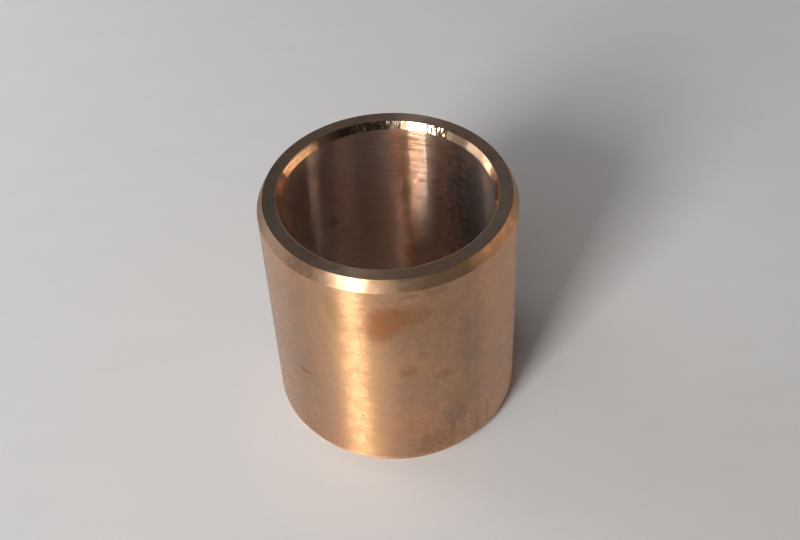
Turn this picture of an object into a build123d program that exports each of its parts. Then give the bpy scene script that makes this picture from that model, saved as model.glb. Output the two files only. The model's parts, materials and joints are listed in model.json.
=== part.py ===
from build123d import *

import os

# Plain bronze bushing: one turned sleeve that presses into a housing and carries a shaft.
#
# It stands on its lower end face. The origin is the middle of that face and +Z runs up the
# bore. Both ends are alike: a steep lead-in chamfer outside, so that the sleeve starts into
# its housing, and a smaller chamfer at the mouth of the bore, so that the shaft starts in.
# All sizes are in millimetres.

# Driving dimensions
OUTSIDE_DIAMETER = 43.0  # wall that grips the housing
BORE_DIAMETER = 35.0  # wall that the shaft runs on
LENGTH = 45.0  # from one end face to the other

LEAD_IN_RADIAL = 1.0  # outer chamfer, how far it cuts into the wall
LEAD_IN_AXIAL = 2.0  # outer chamfer, how far it runs along the sleeve

MOUTH_RADIAL = 0.75  # bore chamfer, how far it opens the bore
MOUTH_AXIAL = 1.25  # bore chamfer, how far it runs down the bore

CORNER_BLEND = 0.12  # radius that the tool leaves on each turned corner

# Sizes that follow from them
OUTER_RADIUS = OUTSIDE_DIAMETER / 2
BORE_RADIUS = BORE_DIAMETER / 2
FACE_OUTER_RADIUS = OUTER_RADIUS - LEAD_IN_RADIAL
FACE_INNER_RADIUS = BORE_RADIUS + MOUTH_RADIAL


def wall_section():
    """The sleeve's wall cut through the axis, drawn as radius along X and height along Z.

    It is a tall thin rectangle with its four corners cut off by the chamfers, and a small
    blend where each pair of turned faces meets.
    """
    lower_face = [(FACE_INNER_RADIUS, 0), (FACE_OUTER_RADIUS, 0)]
    outer_wall = [(OUTER_RADIUS, LEAD_IN_AXIAL), (OUTER_RADIUS, LENGTH - LEAD_IN_AXIAL)]
    upper_face = [(FACE_OUTER_RADIUS, LENGTH), (FACE_INNER_RADIUS, LENGTH)]
    bore_wall = [(BORE_RADIUS, LENGTH - MOUTH_AXIAL), (BORE_RADIUS, MOUTH_AXIAL)]

    with BuildSketch(Plane.XZ) as section:
        with BuildLine():
            Polyline(*lower_face, *outer_wall, *upper_face, *bore_wall, close=True)
        make_face()
        fillet(section.vertices(), CORNER_BLEND)
    return section.sketch


def turned_sleeve():
    """The wall section carried once round the bore's axis."""
    with BuildPart() as sleeve:
        add(wall_section())
        revolve(axis=Axis.Z, revolution_arc=360)
    return sleeve.part


def write_part(solid, node):
    """Writes one solid to parts/NODE.step, named after its node."""
    solid.label = node
    export_step(solid, f"parts/{node}.step")


os.makedirs("parts", exist_ok=True)
write_part(turned_sleeve(), "bushing")
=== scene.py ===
import json
import logging
import math
from dataclasses import dataclass
from enum import Enum
from typing import Any, ClassVar

import bpy
import numpy as np
from mathutils import Matrix, Vector


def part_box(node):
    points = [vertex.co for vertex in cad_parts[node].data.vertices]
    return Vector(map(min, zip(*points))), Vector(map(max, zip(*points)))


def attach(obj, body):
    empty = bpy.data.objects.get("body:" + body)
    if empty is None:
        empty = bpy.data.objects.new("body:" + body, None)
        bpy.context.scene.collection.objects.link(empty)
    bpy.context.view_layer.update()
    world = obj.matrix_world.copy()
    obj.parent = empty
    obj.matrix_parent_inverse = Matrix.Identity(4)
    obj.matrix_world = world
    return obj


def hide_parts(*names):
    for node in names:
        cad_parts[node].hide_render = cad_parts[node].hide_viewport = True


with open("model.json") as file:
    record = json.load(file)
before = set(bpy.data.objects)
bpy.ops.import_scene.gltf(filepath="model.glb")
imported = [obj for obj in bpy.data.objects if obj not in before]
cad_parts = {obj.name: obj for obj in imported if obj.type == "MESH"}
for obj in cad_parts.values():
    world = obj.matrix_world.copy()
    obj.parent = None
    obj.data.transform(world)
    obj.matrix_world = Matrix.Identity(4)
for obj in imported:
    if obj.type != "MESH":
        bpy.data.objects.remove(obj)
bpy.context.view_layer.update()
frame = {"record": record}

LOG = logging.getLogger("bushing")

MM = 0.001
NODE = "bushing"
BODY = "root"

Colour = tuple[float, float, float]
Socket = Any


# ---------------------------------------------------------------- sizes and profile


class Zone(Enum):
    """A turned surface of the sleeve. The value is its material slot on the mesh."""

    OUTER_WALL = 0
    LEAD_IN = 1
    END_FACE = 2
    MOUTH = 3
    BORE = 4


@dataclass(frozen=True)
class SleeveSizes:
    """The sleeve's sizes, in metres."""

    outer_radius: float
    bore_radius: float
    length: float
    lead_in_radial: float = 1.0 * MM
    lead_in_axial: float = 2.0 * MM
    mouth_radial: float = 0.75 * MM
    mouth_axial: float = 1.25 * MM
    corner_blend: float = 0.12 * MM

    @classmethod
    def from_frame(cls, record: dict[str, Any]) -> "SleeveSizes":
        """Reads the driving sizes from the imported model.

        Args:
            record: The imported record, whose bore mount states the bore's radius.

        Returns:
            The sizes, no larger than the CAD node's own box.
        """
        low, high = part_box(NODE)
        bore = next(mount for mount in record["mounts"] if mount["name"] == "bore")
        half_widths = (-low.x, high.x, -low.y, high.y)
        return cls(
            outer_radius=min(half_widths),
            bore_radius=bore["dims"]["r_mm"] * MM,
            length=high.z - low.z,
        )


@dataclass(frozen=True)
class Stretch:
    """A straight run of the profile between two corners.

    Args:
        start: Radius and height where the run begins, in metres.
        zone: The surface that the run turns into.
        rows: How many rows of faces it is divided into.
    """

    start: tuple[float, float]
    zone: Zone
    rows: int


class Sleeve:
    """The turned sleeve: a closed profile carried once round the bore's axis."""

    COLUMNS = 560
    BLEND_ROWS = 4

    def __init__(self, sizes: SleeveSizes) -> None:
        """Keeps the sizes that the profile is drawn from."""
        self.sizes = sizes

    def stretches(self) -> list[Stretch]:
        """Lists the profile's straight runs.

        Returns:
            The runs in order: up the outer wall, in over the upper end, down the bore and
            out under the lower end.
        """
        size = self.sizes
        top = size.length
        face_outer = size.outer_radius - size.lead_in_radial
        face_inner = size.bore_radius + size.mouth_radial
        return [
            Stretch((size.outer_radius, size.lead_in_axial), Zone.OUTER_WALL, 46),
            Stretch((size.outer_radius, top - size.lead_in_axial), Zone.LEAD_IN, 6),
            Stretch((face_outer, top), Zone.END_FACE, 6),
            Stretch((face_inner, top), Zone.MOUTH, 6),
            Stretch((size.bore_radius, top - size.mouth_axial), Zone.BORE, 40),
            Stretch((size.bore_radius, size.mouth_axial), Zone.MOUTH, 6),
            Stretch((face_inner, 0.0), Zone.END_FACE, 6),
            Stretch((face_outer, 0.0), Zone.LEAD_IN, 6),
        ]

    def profile(self) -> tuple[np.ndarray, np.ndarray]:
        """Draws the closed profile with its corners blended.

        Each corner is an arc tangent to the two runs that meet there. Its tangent length is
        the blend radius times the tangent of half the turn, and its points are the arc's
        centre plus the blend radius times the turning normal. The runs are straight lines
        between the arcs.

        Returns:
            The points as (radius, height) rows, and the zone number of the strip that
            follows each point.
        """
        runs = self.stretches()
        corners = np.array([run.start for run in runs])
        along = np.roll(corners, -1, axis=0) - corners
        along /= np.linalg.norm(along, axis=1, keepdims=True)
        before = np.roll(along, 1, axis=0)
        turn = np.arccos(np.clip((before * along).sum(axis=1), -1.0, 1.0))
        reach = self.sizes.corner_blend * np.tan(turn / 2)
        arc_start = corners - before * reach[:, None]
        arc_end = corners + along * reach[:, None]
        inward = np.stack([-before[:, 1], before[:, 0]], axis=1)
        centres = arc_start + inward * self.sizes.corner_blend

        points: list[np.ndarray] = []
        zones: list[np.ndarray] = []
        for index, run in enumerate(runs):
            share = np.arange(self.BLEND_ROWS)[:, None] / self.BLEND_ROWS
            angle = share * turn[index]
            spoke = -inward[index] * np.cos(angle) + before[index] * np.sin(angle)
            arc = centres[index] + self.sizes.corner_blend * spoke
            line_share = np.arange(run.rows)[:, None] / run.rows
            line_end = arc_start[(index + 1) % len(runs)]
            line = arc_end[index] + (line_end - arc_end[index]) * line_share
            points += [arc, line]
            corner_zone = self.corner_zone(runs[index - 1].zone, run.zone)
            zones.append(np.full(self.BLEND_ROWS, corner_zone.value))
            zones.append(np.full(run.rows, run.zone.value))
        return np.concatenate(points), np.concatenate(zones)

    @staticmethod
    def corner_zone(before: Zone, after: Zone) -> Zone:
        """Gives the chamfer of the two zones that meet at a corner, which the blend joins."""
        return before if before in (Zone.LEAD_IN, Zone.MOUTH) else after

    def surface(self) -> tuple[np.ndarray, np.ndarray, np.ndarray]:
        """Carries the profile round the axis.

        A point at profile position s and angle t is (r(s) sin t, -r(s) cos t, z(s)), so
        that t is 0 at the front and grows towards +X.

        Returns:
            The vertices, the distance along the profile of each one in millimetres, and the
            zone number of each row of faces.
        """
        profile, zones = self.profile()
        radius, height = profile.T
        steps = np.linalg.norm(np.diff(profile, axis=0), axis=1)
        distance = np.concatenate([[0.0], np.cumsum(steps)]) / MM
        angle = np.arange(self.COLUMNS) / self.COLUMNS * 2 * math.pi
        radius_grid, angle_grid = np.meshgrid(radius, angle, indexing="ij")
        height_grid = np.repeat(height[:, None], self.COLUMNS, axis=1)
        vertices = np.stack(
            [
                radius_grid * np.sin(angle_grid),
                -radius_grid * np.cos(angle_grid),
                height_grid,
            ],
            axis=-1,
        )
        along = np.repeat(distance[:, None], self.COLUMNS, axis=1)
        return vertices.reshape(-1, 3), along.ravel(), zones

    def faces(self, rows: int) -> np.ndarray:
        """Joins the grid's neighbours into quads that wrap both ways and face outwards.

        Args:
            rows: The number of profile points.

        Returns:
            One row of four vertex numbers for each face, row of faces after row of faces.
        """
        row, column = np.meshgrid(np.arange(rows), np.arange(self.COLUMNS), indexing="ij")
        next_row = (row + 1) % rows
        next_column = (column + 1) % self.COLUMNS
        quads = np.stack(
            [
                row * self.COLUMNS + column,
                row * self.COLUMNS + next_column,
                next_row * self.COLUMNS + next_column,
                next_row * self.COLUMNS + column,
            ],
            axis=-1,
        )
        return quads.reshape(-1, 4)

    def build(self) -> bpy.types.Object:
        """Makes the sleeve's mesh object, with one material slot for each zone.

        Returns:
            The object, at the origin, with its place in its mesh.
        """
        vertices, along, zones = self.surface()
        quads = self.faces(len(zones))
        mesh = bpy.data.meshes.new("turned_sleeve")
        mesh.from_pydata(vertices.tolist(), [], quads.tolist())
        mesh.attributes.new("along", "FLOAT", "POINT")
        mesh.attributes["along"].data.foreach_set("value", along.astype(np.float32))
        slots = np.repeat(zones, self.COLUMNS).astype(np.int32)
        for zone in Zone:
            mesh.materials.append(None)
        mesh.polygons.foreach_set("material_index", slots)
        mesh.polygons.foreach_set("use_smooth", np.ones(len(quads), dtype=bool))
        mesh.update()
        mesh.validate()
        piece = bpy.data.objects.new("turned_sleeve", mesh)
        bpy.context.scene.collection.objects.link(piece)
        return piece


# ---------------------------------------------------------------- finishes


class Shader:
    """A small helper that adds nodes to one tree and wires them."""

    def __init__(self, tree: bpy.types.NodeTree) -> None:
        """Takes a material's or a world's tree and empties it."""
        self.tree = tree
        tree.nodes.clear()

    @classmethod
    def for_material(cls, name: str) -> "Shader":
        """Starts a new material. The material itself is found again by its name."""
        material = bpy.data.materials.new(name)
        material.use_nodes = True
        return cls(material.node_tree)

    def node(self, kind: str, inputs: dict[Any, Any] | None = None, **settings: Any) -> Any:
        """Adds one node.

        Args:
            kind: The node's type name.
            inputs: Socket name or number to a value, or to another node's output.
            settings: Properties of the node.

        Returns:
            The new node.
        """
        made = self.tree.nodes.new(kind)
        for name, value in settings.items():
            setattr(made, name, value)
        for name, value in (inputs or {}).items():
            self.feed(made.inputs[name], value)
        return made

    def feed(self, socket: Socket, value: Any) -> None:
        """Wires an output into a socket, or sets the socket's own value."""
        if isinstance(value, bpy.types.NodeSocket):
            self.tree.links.new(value, socket)
        elif socket.type == "RGBA" and len(value) == 3:
            socket.default_value = (*value, 1.0)
        else:
            socket.default_value = value

    def math(self, operation: str, *values: Any) -> Socket:
        """Adds a Math node and returns its output."""
        made = self.node("ShaderNodeMath", operation=operation)
        for socket, value in zip(made.inputs, values):
            self.feed(socket, value)
        return made.outputs[0]

    def vector(self, operation: str, *values: Any) -> Socket:
        """Adds a Vector Math node and returns its vector output."""
        made = self.node("ShaderNodeVectorMath", operation=operation)
        for socket, value in zip(made.inputs, values):
            self.feed(socket, value)
        return made.outputs[0]

    def scaled(self, value: Any, factor: Any) -> Socket:
        """Multiplies a vector by a number and returns the vector."""
        made = self.node("ShaderNodeVectorMath", operation="SCALE")
        self.feed(made.inputs[0], value)
        self.feed(made.inputs["Scale"], factor)
        return made.outputs[0]

    def length(self, value: Any) -> Socket:
        """Returns the length of a vector."""
        return self.vector("LENGTH", value).node.outputs["Value"]

    def joined(self, x: Any, y: Any, z: Any) -> Socket:
        """Joins three numbers into a vector."""
        return self.node("ShaderNodeCombineXYZ", {0: x, 1: y, 2: z}).outputs[0]

    def noise(self, where: Socket, scale: float, detail: float) -> Socket:
        """Adds a noise texture and returns its value, about 0.5 on average."""
        made = self.node(
            "ShaderNodeTexNoise", {"Vector": where, "Scale": scale, "Detail": detail}
        )
        return made.outputs[0]

    def ramp(
        self, value: Socket, low: float, high: float, start: float = 0.0, end: float = 1.0
    ) -> Socket:
        """Turns a value into start below low and end above high, smoothly between."""
        made = self.node(
            "ShaderNodeMapRange",
            {"Value": value, "From Min": low, "From Max": high, "To Min": start, "To Max": end},
            interpolation_type="SMOOTHSTEP",
        )
        return made.outputs[0]

    def mix(self, share: Any, first: Any, second: Any) -> Socket:
        """Mixes two colours by a share and returns the colour."""
        made = self.node("ShaderNodeMix", {0: share, 6: first, 7: second}, data_type="RGBA")
        return made.outputs[2]

    def seen_share(self) -> Socket:
        """Gives 1 to a ray from the camera, a reflection or glass, and 0 to any other."""
        path = self.node("ShaderNodeLightPath")
        seen = self.math(
            "MAXIMUM", path.outputs["Is Camera Ray"], path.outputs["Is Glossy Ray"]
        )
        return self.math("MAXIMUM", seen, path.outputs["Is Transmission Ray"])

    def finish(self, surface: Any, kind: str) -> None:
        """Wires a shader node to the tree's output, a material's or a world's."""
        self.node(kind, {"Surface": surface.outputs[0]})


# Nearly all of a noise texture's values lie between these.
NOISE_RANGE = (0.3, 0.7)


class Seam(Enum):
    """Which side of the sleeve the unrolled surface's ends meet on."""

    BACK = 1.0
    FRONT = -1.0


@dataclass(frozen=True)
class Mark:
    """A stain, a scratch or a pit on a round surface, or a patch of painted light or shade.

    Args:
        angle: Degrees from the side opposite the seam, growing towards +X where the seam
            is at the back, and towards -X where it is at the front.
        height: Millimetres above the floor.
        half_width: Half its size round the surface, in millimetres.
        half_height: Half its size along the axis, in millimetres.
        strength: How much of its own colour shows, 0 to 1.
        tint: Its own colour.
        tilt: Degrees it is turned by.
        ragged: How far its edge wanders, as a share of its size.
        soft: How much of it fades out, as a share of its size.
    """

    angle: float
    height: float
    half_width: float
    half_height: float
    strength: float
    tint: Colour
    tilt: float = 0.0
    ragged: float = 0.8
    soft: float = 0.5


@dataclass(frozen=True)
class Cloud:
    """A cloudy discolouring.

    Args:
        size: Its usual size, in millimetres.
        offset: Where its pattern is taken from, so that two clouds differ.
        start: The noise value at which it begins to show. A higher one is rarer.
        full: The noise value at which it shows in full.
        strength: How much of its own colour shows, 0 to 1.
        tint: Its own colour.
    """

    size: float
    offset: float
    start: float
    full: float
    strength: float
    tint: Colour


@dataclass(frozen=True)
class Rings:
    """Turned rings.

    Args:
        pitch: How far they are apart, in millimetres.
        slope: How steep their sides are, where 1 is 45 degrees.
        drift: How fast they change round the axis, per millimetre.
        low: The height below which they fade out, in millimetres.
    """

    pitch: float
    slope: float
    drift: float = 0.02
    low: float = -10.0


@dataclass(frozen=True)
class Chatter:
    """Short marks that a trembling tool leaves across a chamfer. Their hollows get painted
    shade, a near-black that stands for dark reflections.

    Args:
        angle: The middle of the marked arc, in degrees as for a mark.
        half_arc: Half the arc, in degrees.
        pitch: How far the marks are apart round the chamfer, in millimetres.
        slope: How steep they are, where 1 is 45 degrees.
        painted_darkening: How dark the painted shade is in the deepest, 0 to 1.
        cover: How much of the arc they cover, 0 to 1.
    """

    angle: float
    half_arc: float
    pitch: float
    slope: float
    painted_darkening: float
    cover: float = 0.5


@dataclass(frozen=True)
class TurnedFinish:
    """How one turned surface looks.

    Args:
        name: The material's name.
        metal: The clean bronze's colour.
        roughness: The mean roughness.
        anisotropy: How much the turning marks stretch a highlight across themselves.
        radius: The surface's radius, in millimetres, for marks placed by angle.
        seam: Where the unrolled surface ends.
        rings: The turned rings.
        waver: How much the surface wavers round the axis, as a slope.
        clouds: The discolourings.
        marks: The single marks, among them patches of painted light and shade.
        chatter: The chattered arcs, whose hollows get painted shade.
        grain: How much single grains differ in brightness, 0 to 1.
        pores: How many of the pore cells hold a pore, 0 to 1.
        dust: How much fine dust lies on the surface, 0 to 1.
    """

    name: str
    metal: Colour
    roughness: float
    anisotropy: float
    radius: float
    seam: Seam = Seam.BACK
    rings: tuple[Rings, ...] = ()
    waver: float = 0.0
    clouds: tuple[Cloud, ...] = ()
    marks: tuple[Mark, ...] = ()
    chatter: tuple[Chatter, ...] = ()
    grain: float = 0.0
    pores: float = 0.0
    dust: float = 0.0

    # Sizes and the fade are in millimetres. Edges are shares of the arc or the pore.
    ROUGH_SIZE: ClassVar[float] = 2.5
    ROUGH_SPREAD: ClassVar[float] = 0.08
    CLOUD_DETAIL: ClassVar[float] = 2.5
    GRAIN_SIZE: ClassVar[float] = 0.35
    GRAIN_NOISE: ClassVar[tuple[float, float]] = (0.25, 0.75)
    PORE_CELL: ClassVar[float] = 1.1
    PORE_RADIUS: ClassVar[float] = 0.16
    PORE_CORE: ClassVar[float] = 0.4
    PORE_COLOUR: ClassVar[Colour] = (0.16, 0.10, 0.07)
    RAGGED_SIZE: ClassVar[float] = 1.2
    RAGGED_REACH: ClassVar[float] = 2.0
    ARC_EDGE: ClassVar[tuple[float, float]] = (0.7, 1.1)
    CHATTER_ACROSS: ClassVar[float] = 0.9
    CHATTER_SPREAD: ClassVar[float] = 0.3
    CHATTER_EDGE: ClassVar[float] = 0.06
    WAVER_SIZE: ClassVar[float] = 1.6
    RING_FADE: ClassVar[float] = 5.0
    DUST_ROUGHNESS: ClassVar[float] = 0.6

    def build(self) -> bpy.types.Material:
        """Wires the finish.

        Returns:
            The material.
        """
        shader = Shader.for_material(self.name)
        spot = shader.node("ShaderNodeTexCoord").outputs["Object"]
        place = shader.scaled(spot, 1 / MM)
        round_way = shader.vector(
            "NORMALIZE", shader.vector("CROSS_PRODUCT", (0.0, 0.0, 1.0), spot)
        )
        unrolled = self.unrolled(shader, place)
        colour = self.colour(shader, place, unrolled)
        normal = self.normal(shader, place, unrolled, round_way)
        patchy = shader.noise(place, 1 / self.ROUGH_SIZE, 3.0)
        roughness = shader.ramp(
            patchy,
            *NOISE_RANGE,
            self.roughness * (1 - self.ROUGH_SPREAD),
            self.roughness * (1 + self.ROUGH_SPREAD),
        )
        surface = shader.node(
            "ShaderNodeBsdfPrincipled",
            {
                "Base Color": colour,
                "Metallic": 1.0,
                "Roughness": roughness,
                "Anisotropic": self.anisotropy,
                "Anisotropic Rotation": 0.25,
                "Tangent": round_way,
                "Normal": normal,
                "Sheen Weight": self.dust,
                "Sheen Roughness": self.DUST_ROUGHNESS,
            },
        )
        shader.finish(surface, "ShaderNodeOutputMaterial")
        return bpy.data.materials[self.name]

    def unrolled(self, shader: Shader, place: Socket) -> Socket:
        """Rolls the surface out flat.

        With side +1 for a seam at the back and -1 for one at the front, the angle is
        atan2(side x, -side y), which is 0 opposite the seam. The flat place is the angle
        times the radius, and the height.

        Returns:
            The flat place (round, up, 0) in millimetres.
        """
        parts = shader.node("ShaderNodeSeparateXYZ", {0: place})
        side = self.seam.value
        across = shader.math("MULTIPLY", parts.outputs[0], side)
        ahead = shader.math("MULTIPLY", parts.outputs[1], -side)
        angle = shader.math("ARCTAN2", across, ahead)
        return shader.joined(
            shader.math("MULTIPLY", angle, self.radius), parts.outputs[2], 0.0
        )

    def colour(self, shader: Shader, place: Socket, unrolled: Socket) -> Socket:
        """Lays the clouds, the grain, the pores, the single marks (some of them painted light
        or shade) and the chatter's painted shade over the metal.

        Returns:
            The base colour.
        """
        colour: Any = self.metal
        for cloud in self.clouds:
            where = shader.vector("ADD", place, (cloud.offset, -cloud.offset, cloud.offset))
            value = shader.noise(where, 1 / cloud.size, self.CLOUD_DETAIL)
            share = shader.ramp(value, cloud.start, cloud.full, 0.0, cloud.strength)
            colour = shader.mix(share, colour, cloud.tint)
        if self.grain:
            value = shader.noise(place, 1 / self.GRAIN_SIZE, 2.0)
            level = shader.ramp(value, *self.GRAIN_NOISE, 1 - self.grain, 1 + self.grain)
            colour = shader.scaled(colour, level)
        if self.pores:
            cells = shader.node(
                "ShaderNodeTexVoronoi", {"Vector": place, "Scale": 1 / self.PORE_CELL}
            )
            near = shader.ramp(
                cells.outputs["Distance"],
                self.PORE_RADIUS * self.PORE_CORE,
                self.PORE_RADIUS,
                1.0,
                0.0,
            )
            chosen = shader.math("LESS_THAN", cells.outputs["Color"], self.pores)
            share = shader.math("MULTIPLY", near, chosen)
            colour = shader.mix(share, colour, self.PORE_COLOUR)
        if self.marks:
            edge_noise = shader.noise(place, 1 / self.RAGGED_SIZE, 3.0)
            wander = shader.math("SUBTRACT", edge_noise, 0.5)
            for mark in self.marks:
                share = self.mark_share(shader, unrolled, wander, mark)
                colour = shader.mix(share, colour, mark.tint)
        # The chatter's hollows get painted shade.
        for arc in self.chatter:
            colour = shader.mix(self.chatter_shade_share(shader, unrolled, arc), colour, CHATTER_SHADE_BLACK)
        return colour

    def mark_share(
        self, shader: Shader, unrolled: Socket, wander: Socket, mark: Mark
    ) -> Socket:
        """Works out how much of a mark shows.

        The flat place is moved, turned and divided by the mark's half sizes, so that the
        mark's edge is where its length is 1. The wander pushes the edge in and out.

        Returns:
            The share of the mark's own colour.
        """
        middle = (math.radians(mark.angle) * self.radius, mark.height, 0.0)
        inside = shader.node(
            "ShaderNodeMapping",
            {
                "Vector": unrolled,
                "Location": middle,
                "Rotation": (0.0, 0.0, math.radians(mark.tilt)),
                "Scale": (mark.half_width, mark.half_height, 1.0),
            },
            vector_type="TEXTURE",
        )
        reach = mark.ragged * self.RAGGED_REACH
        away = shader.length(inside.outputs[0])
        pushed = shader.math("MULTIPLY_ADD", wander, reach, away)
        return shader.ramp(pushed, 1 - mark.soft, 1 + mark.soft, mark.strength, 0.0)

    def arc_share(self, shader: Shader, unrolled: Socket, arc: Chatter) -> Socket:
        """Gives 1 in the middle of a chattered arc and 0 outside it."""
        round_place = shader.node("ShaderNodeSeparateXYZ", {0: unrolled}).outputs[0]
        middle = math.radians(arc.angle) * self.radius
        half = math.radians(arc.half_arc) * self.radius
        away = shader.math("ABSOLUTE", shader.math("SUBTRACT", round_place, middle))
        full, end = self.ARC_EDGE
        return shader.ramp(away, half * full, half * end, 1.0, 0.0)

    def chatter_noise(self, shader: Shader, unrolled: Socket, arc: Chatter) -> Socket:
        """Gives noise that changes once a pitch round the chamfer and slowly across it."""
        rate = (1 / arc.pitch, self.CHATTER_ACROSS, 1.0)
        stretched = shader.vector("MULTIPLY", unrolled, rate)
        return shader.math("SUBTRACT", shader.noise(stretched, 1.0, 2.0), 0.5)

    def chatter_shade_share(self, shader: Shader, unrolled: Socket, arc: Chatter) -> Socket:
        """Gives how much painted shade the chatter's hollows get; they are where its noise is
        high.
        """
        edge = self.CHATTER_SPREAD * (0.5 - arc.cover)
        value = self.chatter_noise(shader, unrolled, arc)
        hollow = shader.ramp(value, edge, edge + self.CHATTER_EDGE)
        inside = shader.math("MULTIPLY", hollow, self.arc_share(shader, unrolled, arc))
        return shader.math("MULTIPLY", inside, arc.painted_darkening)

    def normal(
        self, shader: Shader, place: Socket, unrolled: Socket, round_way: Socket
    ) -> Socket:
        """Tilts the normal over the rings, the waver and the chatter.

        The tilted normal is N + a P + b R, made a unit long, where R runs round the axis,
        P = R x N runs along the profile, and a and b are noise less 0.5 times a slope.

        Returns:
            The normal.
        """
        flat = shader.node("ShaderNodeNewGeometry").outputs["Normal"]
        profile_way = shader.vector("CROSS_PRODUCT", round_way, flat)
        along = shader.node("ShaderNodeAttribute", attribute_name="along").outputs["Fac"]
        parts = shader.node("ShaderNodeSeparateXYZ", {0: place})
        across_slope: Any = 0.0
        for ring in self.rings:
            where = shader.joined(
                shader.math("MULTIPLY", parts.outputs[0], ring.drift),
                shader.math("MULTIPLY", parts.outputs[1], ring.drift),
                shader.math("DIVIDE", along, ring.pitch),
            )
            value = shader.math("SUBTRACT", shader.noise(where, 1.0, 1.0), 0.5)
            above = ring.low + self.RING_FADE
            steep = shader.ramp(parts.outputs[2], ring.low, above, 0.0, ring.slope)
            across_slope = shader.math("MULTIPLY_ADD", value, steep, across_slope)
        waver = shader.math("SUBTRACT", shader.noise(place, 1 / self.WAVER_SIZE, 2.0), 0.5)
        round_slope = shader.math("MULTIPLY", waver, self.waver)
        for arc in self.chatter:
            value = self.chatter_noise(shader, unrolled, arc)
            value = shader.math("MULTIPLY", value, self.arc_share(shader, unrolled, arc))
            round_slope = shader.math("MULTIPLY_ADD", value, arc.slope, round_slope)
        tilted = shader.vector("ADD", flat, shader.scaled(profile_way, across_slope))
        tilted = shader.vector("ADD", tilted, shader.scaled(round_way, round_slope))
        return shader.vector("NORMALIZE", tilted)


# A mark lies over the ones before it.

# A near-black laid as painted shade in the chatter's hollows, for dark reflections.
CHATTER_SHADE_BLACK: Colour = (0.02, 0.015, 0.012)
ROSE_GREY: Colour = (0.56, 0.335, 0.22)
ORANGE_BROWN: Colour = (0.60, 0.31, 0.15)
DARK_BROWN: Colour = (0.30, 0.19, 0.12)
# Colours of the painted highlight down the wall's bright streak and its flanks.
PAINTED_HIGHLIGHT_GOLD: Colour = (0.80, 0.455, 0.21)
PAINTED_HIGHLIGHT_FLANK: Colour = (0.84, 0.48, 0.27)
FINE_LINE: Colour = (0.45, 0.27, 0.14)
HEAT_TINT: Colour = (0.50, 0.21, 0.09)
PALE_SCRATCH: Colour = (0.95, 0.80, 0.70)

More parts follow.
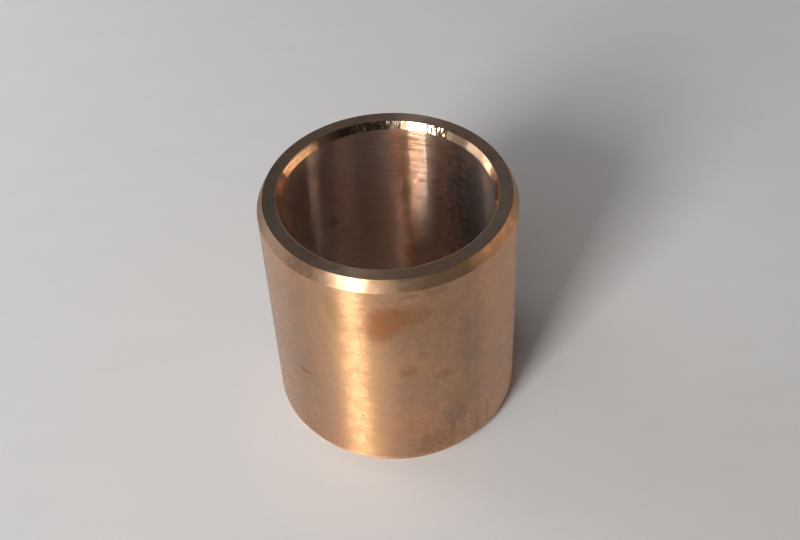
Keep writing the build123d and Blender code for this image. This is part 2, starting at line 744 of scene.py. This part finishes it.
WALL_MARKS = (
    # A painted highlight: a warm upright column along the wall's bright streak, and two softer
    # painted highlights that flank it.
    Mark(-29.0, 20.0, 3.5, 28.0, 0.45, PAINTED_HIGHLIGHT_FLANK, ragged=0.6, soft=0.7),
    Mark(-7.0, 16.0, 2.2, 18.0, 0.45, PAINTED_HIGHLIGHT_FLANK, ragged=0.6, soft=0.7),
    Mark(-17.5, 20.0, 3.5, 30.0, 0.85, PAINTED_HIGHLIGHT_GOLD, ragged=0.3, soft=0.5),
    # Broad darker patches. The two at 58 and -70 degrees are painted shade that darkens the
    # wall towards its sides.
    Mark(10.0, 36.5, 7.5, 6.0, 0.50, (0.44, 0.245, 0.14), ragged=1.0, soft=0.8),
    Mark(28.0, 26.0, 6.0, 14.0, 0.40, (0.45, 0.28, 0.19), ragged=1.0, soft=0.8),
    Mark(58.0, 22.0, 9.0, 24.0, 0.60, (0.46, 0.315, 0.235), ragged=0.6, soft=0.6),
    Mark(-70.0, 22.0, 11.0, 28.0, 0.60, (0.48, 0.345, 0.27), ragged=0.8, soft=0.6),
    # The heat stain and its tail.
    Mark(-1.6, 37.2, 3.9, 2.5, 0.95, HEAT_TINT, ragged=0.5, soft=0.6),
    Mark(-5.4, 35.0, 2.3, 2.7, 0.85, HEAT_TINT, tilt=-20, ragged=0.6, soft=0.7),
    Mark(6.5, 37.6, 3.2, 1.6, 0.80, (0.46, 0.22, 0.10), ragged=0.6),
    Mark(14.0, 37.4, 4.2, 0.8, 0.40, (0.50, 0.28, 0.15), tilt=3),
    # Streaks under the upper edge, and a stain left of the column.
    Mark(2.0, 39.9, 3.2, 0.35, 0.45, (0.50, 0.27, 0.15), ragged=1.0),
    Mark(7.5, 42.0, 1.8, 0.45, 0.45, DARK_BROWN, tilt=4, ragged=1.2),
    Mark(16.5, 42.0, 2.2, 1.1, 0.35, DARK_BROWN, ragged=1.4),
    Mark(-25.5, 36.5, 1.5, 4.4, 0.65, (0.54, 0.31, 0.14), tilt=10, ragged=0.8),
    # The scratch, and a nick above it.
    Mark(-46.0, 18.8, 2.0, 0.20, 0.90, (0.22, 0.13, 0.10), tilt=1, ragged=0.25),
    Mark(-41.0, 24.6, 0.10, 0.6, 0.50, (0.34, 0.22, 0.15), ragged=0.4),
    # Spots and smudges.
    Mark(5.0, 24.4, 1.25, 1.25, 0.60, (0.38, 0.20, 0.115), ragged=1.2, soft=0.7),
    Mark(21.5, 22.2, 1.3, 1.0, 0.40, (0.38, 0.22, 0.13), ragged=1.4, soft=0.7),
    Mark(23.0, 21.5, 0.75, 0.09, 0.85, (0.20, 0.12, 0.08), ragged=0.2),
    Mark(7.5, 9.8, 1.8, 2.2, 0.55, (0.62, 0.30, 0.17), ragged=1.2),
    Mark(4.5, 16.5, 0.9, 2.0, 0.30, (0.60, 0.32, 0.19), ragged=1.2),
    Mark(3.0, 3.5, 2.5, 1.6, 0.35, (0.60, 0.34, 0.20), ragged=1.4),
    Mark(26.5, 10.0, 2.3, 2.8, 0.65, (0.36, 0.24, 0.18), ragged=1.3),
    Mark(18.0, 5.0, 4.2, 2.6, 0.60, (0.42, 0.23, 0.13), ragged=1.3),
    Mark(27.5, 15.5, 1.8, 2.0, 0.35, (0.52, 0.28, 0.14), ragged=1.3),
    Mark(12.0, 28.0, 1.4, 0.9, 0.40, (0.42, 0.24, 0.14), ragged=1.2, soft=0.7),
    Mark(26.3, 25.6, 1.6, 1.1, 0.30, (0.50, 0.27, 0.13), ragged=1.3),
    Mark(31.0, 32.0, 1.1, 2.6, 0.35, (0.34, 0.21, 0.14), ragged=1.4),
    Mark(34.0, 24.0, 2.4, 3.4, 0.25, (0.36, 0.24, 0.18), ragged=1.4),
    # Two upright stains by the lower edge.
    Mark(45.8, 6.2, 0.45, 2.6, 0.50, (0.28, 0.18, 0.13), tilt=-2, ragged=0.6),
    Mark(39.0, 3.6, 0.40, 2.8, 0.45, (0.30, 0.19, 0.14), tilt=-2, ragged=0.6),
    # A speck with a tail.
    Mark(-17.0, 12.8, 0.22, 0.16, 0.90, (0.16, 0.10, 0.06), ragged=0.4),
    Mark(-16.3, 12.3, 0.30, 0.08, 0.70, (0.30, 0.18, 0.10), ragged=0.4),
    Mark(-17.3, 10.0, 0.60, 0.07, 0.60, (0.40, 0.25, 0.14), ragged=0.4),
    # A fine line that wanders down the column.
    Mark(-15.3, 37.8, 0.12, 1.7, 0.50, FINE_LINE, tilt=-14, ragged=0.3),
    Mark(-15.3, 32.4, 0.12, 4.2, 0.55, FINE_LINE, tilt=3, ragged=0.3),
    Mark(-16.9, 26.2, 0.12, 2.8, 0.50, FINE_LINE, tilt=-8, ragged=0.3),
)
LEAD_IN_MARKS = (
    # A nick, its burr and a scuff.
    Mark(-50.0, 43.6, 0.35, 0.30, 0.8, DARK_BROWN, ragged=0.5),
    Mark(-47.0, 43.9, 0.25, 0.18, 0.9, PALE_SCRATCH, ragged=0.5),
    Mark(5.5, 44.2, 1.0, 0.4, 0.45, (0.80, 0.56, 0.40), ragged=0.8, soft=0.8),
    # Broad darker patches, both painted shade that dims the chamfer's reflection: at 22
    # degrees, right of the front, and at -66 degrees on the left.
    Mark(22.0, 44.0, 5.5, 1.3, 0.25, DARK_BROWN, ragged=1.0),
    Mark(-66.0, 44.0, 11.0, 1.8, 0.88, (0.34, 0.22, 0.155), ragged=0.8, soft=0.8),
)
END_FACE_MARKS = (
    # Painted light and shade on the end face: the patch at -78 degrees is painted shade, the
    # one at 4 a warm painted reflection, and the one at 75 a lighter, cooler painted
    # reflection.
    Mark(-78.0, 45.0, 9.0, 2.0, 0.60, (0.25, 0.225, 0.215), ragged=0.6, soft=0.8),
    Mark(75.0, 45.0, 9.0, 2.0, 0.60, (0.37, 0.31, 0.285), ragged=0.6, soft=0.8),
    Mark(4.0, 45.0, 7.0, 2.0, 0.50, (0.44, 0.29, 0.19), ragged=0.6, soft=0.8),
)
MOUTH_MARKS = (
    # The patches at -76, -52 and 92 degrees are painted shade that dims the chamfer's bright
    # reflections; the one at 31 darkens it beside the chatter.
    Mark(-76.0, 44.4, 8.0, 2.0, 0.80, (0.62, 0.42, 0.29), ragged=0.6),
    Mark(-52.0, 44.4, 5.0, 2.0, 0.75, (0.48, 0.32, 0.22), ragged=0.8),
    Mark(92.0, 44.4, 4.5, 2.0, 0.45, (0.42, 0.27, 0.17), ragged=0.6),
    Mark(31.0, 44.4, 3.4, 2.0, 0.75, (0.28, 0.20, 0.15), ragged=0.4, soft=0.3),
)
# The chatter's darkening is painted shade standing for dark reflections on the chamfer.
MOUTH_CHATTER = (
    Chatter(-6.0, 4.8, 0.32, 2.0, 0.97, 0.62),
    Chatter(4.0, 7.5, 0.36, 1.2, 0.95, 0.90),
    Chatter(18.0, 8.5, 0.40, 0.8, 0.70, 0.85),
    Chatter(-30.2, 7.4, 0.32, 1.2, 0.72, 0.68),
)
BORE_MARKS = (
    # Painted light and shade among upright bands and broad patches: the pale bands at 20, -1
    # and -38 degrees are painted reflections that brighten the bore, the greyish patch at 60 is
    # painted haze, the brown bands at -16 and -15 are painted shade and tint over the bright
    # streak, and the dark patch at -70 is painted shade. The bands at 43 and -26 are darker
    # bands.
    Mark(20.0, 22.0, 7.5, 32.0, 0.95, (0.93, 0.76, 0.66), ragged=0.3, soft=0.4),
    Mark(43.0, 30.0, 2.6, 22.0, 0.60, (0.45, 0.32, 0.25), ragged=0.6, soft=0.6),
    Mark(-16.0, 35.0, 2.8, 10.0, 0.80, (0.48, 0.25, 0.13), ragged=0.5, soft=0.7),
    Mark(-15.0, 20.0, 2.8, 10.0, 0.60, (0.66, 0.32, 0.16), ragged=0.5, soft=0.7),
    Mark(-1.0, 14.0, 3.0, 18.0, 0.85, (0.95, 0.76, 0.65), ragged=0.5, soft=0.5),
    Mark(-38.0, 22.0, 5.0, 32.0, 0.75, (0.84, 0.62, 0.49), ragged=0.3, soft=0.6),
    Mark(-26.0, 24.0, 2.4, 12.0, 0.60, (0.45, 0.30, 0.22), ragged=0.6, soft=0.5),
    Mark(60.0, 30.0, 9.0, 22.0, 0.85, (0.62, 0.55, 0.53), ragged=0.8, soft=0.6),
    Mark(-70.0, 30.0, 8.0, 24.0, 0.92, (0.18, 0.12, 0.09), ragged=0.8, soft=0.6),
    # A spot, a nick and two fine scratches.
    Mark(35.0, 25.5, 0.8, 1.2, 0.6, (0.30, 0.20, 0.15), ragged=0.6),
    Mark(12.5, 35.5, 0.16, 0.16, 0.9, PALE_SCRATCH, ragged=0.4),
    Mark(-31.5, 43.2, 1.6, 0.05, 0.8, PALE_SCRATCH, tilt=-18, ragged=0.2),
    Mark(-35.0, 43.0, 1.3, 0.05, 0.7, PALE_SCRATCH, tilt=16, ragged=0.2),
)

FINISHES: dict[Zone, TurnedFinish] = {
    Zone.OUTER_WALL: TurnedFinish(
        "turned_outer_wall",
        metal=(0.67, 0.372, 0.215),
        roughness=0.28,
        anisotropy=1.0,
        radius=21.5,
        rings=(Rings(0.35, 0.03), Rings(0.14, 0.08), Rings(0.01, 1.9, 0.1)),
        waver=0.012,
        clouds=(
            Cloud(7.0, 3.0, 0.43, 0.58, 0.65, ROSE_GREY),
            Cloud(3.5, 31.0, 0.54, 0.72, 0.35, ORANGE_BROWN),
            Cloud(2.0, 57.0, 0.58, 0.80, 0.18, DARK_BROWN),
        ),
        marks=WALL_MARKS,
        grain=0.03,
        pores=0.06,
    ),
    Zone.LEAD_IN: TurnedFinish(
        "turned_lead_in",
        metal=(0.62, 0.375, 0.222),
        roughness=0.42,
        anisotropy=0.92,
        radius=21.0,
        rings=(Rings(0.14, 0.10), Rings(0.02, 0.4)),
        waver=0.08,
        clouds=(
            Cloud(4.0, 12.0, 0.50, 0.64, 0.45, DARK_BROWN),
            Cloud(2.0, 41.0, 0.55, 0.70, 0.40, ORANGE_BROWN),
        ),
        marks=LEAD_IN_MARKS,
        grain=0.06,
    ),
    Zone.END_FACE: TurnedFinish(
        "faced_end",
        metal=(0.355, 0.253, 0.20),
        roughness=0.30,
        anisotropy=0.9,
        radius=19.4,
        rings=(Rings(0.14, 0.10), Rings(0.02, 0.4)),
        waver=0.03,
        clouds=(
            Cloud(3.0, 21.0, 0.48, 0.62, 0.50, (0.20, 0.15, 0.12)),
            Cloud(1.2, 61.0, 0.55, 0.70, 0.35, (0.36, 0.25, 0.18)),
            Cloud(0.5, 71.0, 0.48, 0.72, 0.35, (0.44, 0.31, 0.23)),
        ),
        marks=END_FACE_MARKS,
        grain=0.08,
    ),
    Zone.MOUTH: TurnedFinish(
        "turned_mouth",
        metal=(0.92, 0.64, 0.42),
        roughness=0.14,
        anisotropy=1.0,
        radius=17.9,
        seam=Seam.FRONT,
        rings=(Rings(0.14, 0.10), Rings(0.02, 0.4)),
        waver=0.02,
        clouds=(Cloud(2.5, 8.0, 0.50, 0.64, 0.40, (0.50, 0.32, 0.21)),),
        marks=MOUTH_MARKS,
        chatter=MOUTH_CHATTER,
        grain=0.08,
    ),
    Zone.BORE: TurnedFinish(
        "turned_bore",
        metal=(0.70, 0.42, 0.26),
        roughness=0.22,
        anisotropy=1.0,
        radius=17.5,
        seam=Seam.FRONT,
        rings=(Rings(0.8, 0.04, 0.04, 34.0), Rings(0.2, 0.02), Rings(0.008, 3.0, 0.2)),
        waver=0.012,
        clouds=(Cloud(5.0, 17.0, 0.46, 0.62, 0.40, (0.60, 0.43, 0.34)),),
        marks=BORE_MARKS,
        grain=0.05,
        pores=0.05,
        dust=0.07,
    ),
}


# ---------------------------------------------------------------- studio


def toward(azimuth: float, elevation: float) -> Vector:
    """Gives a direction from the sleeve.

    Args:
        azimuth: Degrees from the front, -Y, growing towards +X.
        elevation: Degrees above the floor.

    Returns:
        The unit vector (sin a cos e, -cos a cos e, sin e).
    """
    around, above = math.radians(azimuth), math.radians(elevation)
    return Vector(
        (
            math.sin(around) * math.cos(above),
            -math.cos(around) * math.cos(above),
            math.sin(above),
        )
    )


@dataclass(frozen=True)
class Viewpoint:
    """Where the camera stands and looks. Lengths are in metres and angles in degrees."""

    place: tuple[float, float, float] = (0.0, -0.15235, 0.17852)
    target: tuple[float, float, float] = (0.00143, 0.0, 0.02659)
    roll: float = -2.858
    focal_pixels: float = 1242.1
    frame_width_pixels: float = 800.0
    sensor_width_mm: float = 36.0

    def build(self) -> bpy.types.Object:
        """Makes the camera and gives it to the scene."""
        data = bpy.data.cameras.new("camera")
        data.sensor_width = self.sensor_width_mm
        data.lens = self.focal_pixels / self.frame_width_pixels * self.sensor_width_mm
        data.clip_start = 0.01
        data.clip_end = 20.0
        camera = bpy.data.objects.new("camera", data)
        bpy.context.scene.collection.objects.link(camera)
        aim = (Vector(self.target) - Vector(self.place)).to_track_quat("-Z", "Y")
        turned = aim.to_matrix().to_4x4() @ Matrix.Rotation(math.radians(self.roll), 4, "Z")
        camera.matrix_world = Matrix.Translation(self.place) @ turned
        bpy.context.scene.camera = camera
        return camera


@dataclass(frozen=True)
class SoftLamp:
    """A rectangular lamp that faces the sleeve.

    Args:
        name: The lamp's name.
        azimuth: Degrees from the front, growing towards +X.
        elevation: Degrees above the floor.
        distance: Metres from the sleeve.
        width: Metres across.
        height: Metres high.
        power: Watts.
        colour: The light's colour.
        on_paper: Whether it lights dull surfaces.
        in_metal: Whether it shows in shiny surfaces.
    """

    name: str
    azimuth: float
    elevation: float
    distance: float
    width: float
    height: float
    power: float
    colour: Colour = (1.0, 1.0, 1.0)
    on_paper: bool = True
    in_metal: bool = True

    def build(self) -> bpy.types.Object:
        """Makes the lamp and turns it to the sleeve."""
        data = bpy.data.lights.new(self.name, "AREA")
        data.shape = "RECTANGLE"
        data.size = self.width
        data.size_y = self.height
        data.energy = self.power
        data.color = self.colour
        lamp = bpy.data.objects.new(self.name, data)
        lamp.visible_camera = False
        lamp.visible_diffuse = self.on_paper
        lamp.visible_glossy = self.in_metal
        bpy.context.scene.collection.objects.link(lamp)
        direction = toward(self.azimuth, self.elevation)
        aim = (-direction).to_track_quat("-Z", "Y").to_matrix().to_4x4()
        lamp.matrix_world = Matrix.Translation(direction * self.distance) @ aim
        return lamp


@dataclass(frozen=True)
class Glow:
    """A soft patch of light in the room.

    Args:
        azimuth: Degrees from the front, growing towards +X.
        elevation: Degrees above the floor.
        tightness: How fast it fades away from its middle.
        strength: The light at its middle, where 1 is white.
        colour: The light's colour.
    """

    azimuth: float
    elevation: float
    tightness: float
    strength: float
    colour: Colour


COOL_LIGHT: Colour = (0.97, 1.0, 1.06)
WARM_LIGHT: Colour = (1.0, 0.68, 0.43)


class Studio:
    """A pale floor, a window and a room that is brighter on the window's side.

    The paper's grain is in millimetres and its clouds in cycles a millimetre. The near and
    far limits of the paper are in metres. The far wall has an azimuth and an elevation, and
    fades out between two values of its direction's height and of the cosine from its middle.
    """

    FLOOR_HALF = 6.0
    FLOOR_COLOUR: Colour = (0.60, 0.588, 0.58)
    ROOM_GREY: Colour = (0.014, 0.014, 0.014)
    FAR_PAPER: Colour = (0.60, 0.595, 0.59)
    NEAR_PAPER = 0.24
    PAPER_ALL_FAR = 0.5
    PAPER_ROUGHNESS = 0.9
    PAPER_GRAIN = 0.6
    PAPER_RELIEF = 0.015 * MM
    GRAIN_LEVEL = (0.985, 1.0)
    PAPER_CLOUDS = (0.05, 0.12, 1.0)
    CLOUD_LEVEL = (-0.01, 0.01)
    FAR_WALL = (-135.0, 0.0)
    WALL_TOP = (0.14, 0.40)
    WALL_SIDE = (0.1, 0.35)
    LAMPS = [
        SoftLamp("window", -34.0, 30.0, 1.3, 0.34, 0.47, 15.2),
        SoftLamp("upper_pane", -34.0, 55.0, 0.5, 0.3, 0.3, 0.46),
        SoftLamp("pale_wall", -105.0, 20.0, 0.5, 0.3, 0.3, 0.36),
        SoftLamp("paper_light", -120.0, 20.0, 0.42, 0.3, 0.3, 0.62, COOL_LIGHT, in_metal=False),
        SoftLamp("warm_card", 92.0, 8.0, 0.4, 0.34, 0.09, 0.17, WARM_LIGHT, on_paper=False),
    ]
    GLOWS = [
        Glow(-32.0, 5.0, 8.0, 1.8, (1.0, 1.0, 1.0)),
        Glow(92.0, 8.0, 8.0, 0.26, (1.2, 0.93, 0.75)),
        Glow(172.0, 42.0, 6.0, 0.20, (1.1, 1.0, 0.9)),
        Glow(0.0, 90.0, 10.0, 0.075, (1.03, 1.0, 0.95)),
    ]

    def floor(self) -> bpy.types.Object:
        """Makes the paper that the sleeve stands on.

        Far from the sleeve it shows an even colour to the eye and in reflections, which
        lights nothing.

        Returns:
            The floor.
        """
        half = self.FLOOR_HALF
        mesh = bpy.data.meshes.new("floor")
        corners = [(-half, -half, 0), (half, -half, 0), (half, half, 0), (-half, half, 0)]
        mesh.from_pydata(corners, [], [(0, 1, 2, 3)])
        shader = Shader.for_material("pale_paper")
        spot = shader.node("ShaderNodeTexCoord").outputs["Object"]
        place = shader.scaled(spot, 1 / MM)
        fine = shader.noise(place, 1 / self.PAPER_GRAIN, 2.0)
        broad = shader.noise(shader.vector("MULTIPLY", place, self.PAPER_CLOUDS), 1.0, 3.0)
        level = shader.math(
            "ADD",
            shader.ramp(fine, *NOISE_RANGE, *self.GRAIN_LEVEL),
            shader.ramp(broad, *NOISE_RANGE, *self.CLOUD_LEVEL),
        )
        colour = shader.scaled(self.FLOOR_COLOUR, level)
        bump = shader.node("ShaderNodeBump", {"Distance": self.PAPER_RELIEF, "Height": fine})
        paper = shader.node(
            "ShaderNodeBsdfPrincipled",
            {
                "Base Color": colour,
                "Roughness": self.PAPER_ROUGHNESS,
                "Normal": bump.outputs[0],
            },
        )
        far = shader.ramp(shader.length(spot), self.NEAR_PAPER, self.PAPER_ALL_FAR)
        share = shader.math("MULTIPLY", far, shader.seen_share())
        glow = shader.node("ShaderNodeEmission", {"Color": self.FAR_PAPER})
        surface = shader.node(
            "ShaderNodeMixShader", {0: share, 1: paper.outputs[0], 2: glow.outputs[0]}
        )
        shader.finish(surface, "ShaderNodeOutputMaterial")
        mesh.materials.append(bpy.data.materials["pale_paper"])
        floor = bpy.data.objects.new("floor", mesh)
        bpy.context.scene.collection.objects.link(floor)
        return floor

    def room(self) -> None:
        """Makes the world: an even grey, the glows and a pale far wall.

        A glow is its colour times exp(tightness (cos of the angle from its middle - 1)).
        The wall is low, only shows to the eye and in reflections, and lights nothing.
        """
        world = bpy.data.worlds.new("room")
        bpy.context.scene.world = world
        world.use_nodes = True
        shader = Shader(world.node_tree)
        away = shader.node("ShaderNodeTexCoord").outputs["Generated"]
        light: Any = self.ROOM_GREY
        for glow in self.GLOWS:
            middle = tuple(toward(glow.azimuth, glow.elevation))
            facing = shader.vector("DOT_PRODUCT", away, middle).node.outputs["Value"]
            fall = shader.math("MULTIPLY_ADD", facing, glow.tightness, -glow.tightness)
            share = shader.math("EXPONENT", fall)
            tint = shader.scaled(tuple(c * glow.strength for c in glow.colour), share)
            light = shader.vector("ADD", light, tint)
        middle = tuple(toward(*self.FAR_WALL))
        facing = shader.vector("DOT_PRODUCT", away, middle).node.outputs["Value"]
        height = shader.node("ShaderNodeSeparateXYZ", {0: away}).outputs[2]
        low = shader.ramp(height, *self.WALL_TOP, 1.0, 0.0)
        pale = shader.math("MULTIPLY", low, shader.ramp(facing, *self.WALL_SIDE))
        light = shader.mix(
            shader.math("MULTIPLY", pale, shader.seen_share()), light, self.FAR_PAPER
        )
        background = shader.node("ShaderNodeBackground", {"Color": light})
        shader.finish(background, "ShaderNodeOutputWorld")

    def build(self) -> None:
        """Makes the floor, the room and the lamps."""
        self.floor()
        self.room()
        for lamp in self.LAMPS:
            lamp.build()
        bpy.context.scene.view_settings.view_transform = "Standard"


# ---------------------------------------------------------------- making


def main() -> None:
    """Builds the sleeve, the studio and the camera, in that order."""
    logging.basicConfig(level=logging.INFO, format="%(name)s: %(message)s")
    sleeve = Sleeve(SleeveSizes.from_frame(frame["record"]))
    piece = sleeve.build()
    for zone, finish in FINISHES.items():
        piece.data.materials[zone.value] = finish.build()
    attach(piece, BODY)
    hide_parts(NODE)
    LOG.info("%s: %d faces, stands for %s", piece.name, len(piece.data.polygons), NODE)
    Studio().build()
    Viewpoint().build()


if __name__ == "__main__":
    main()
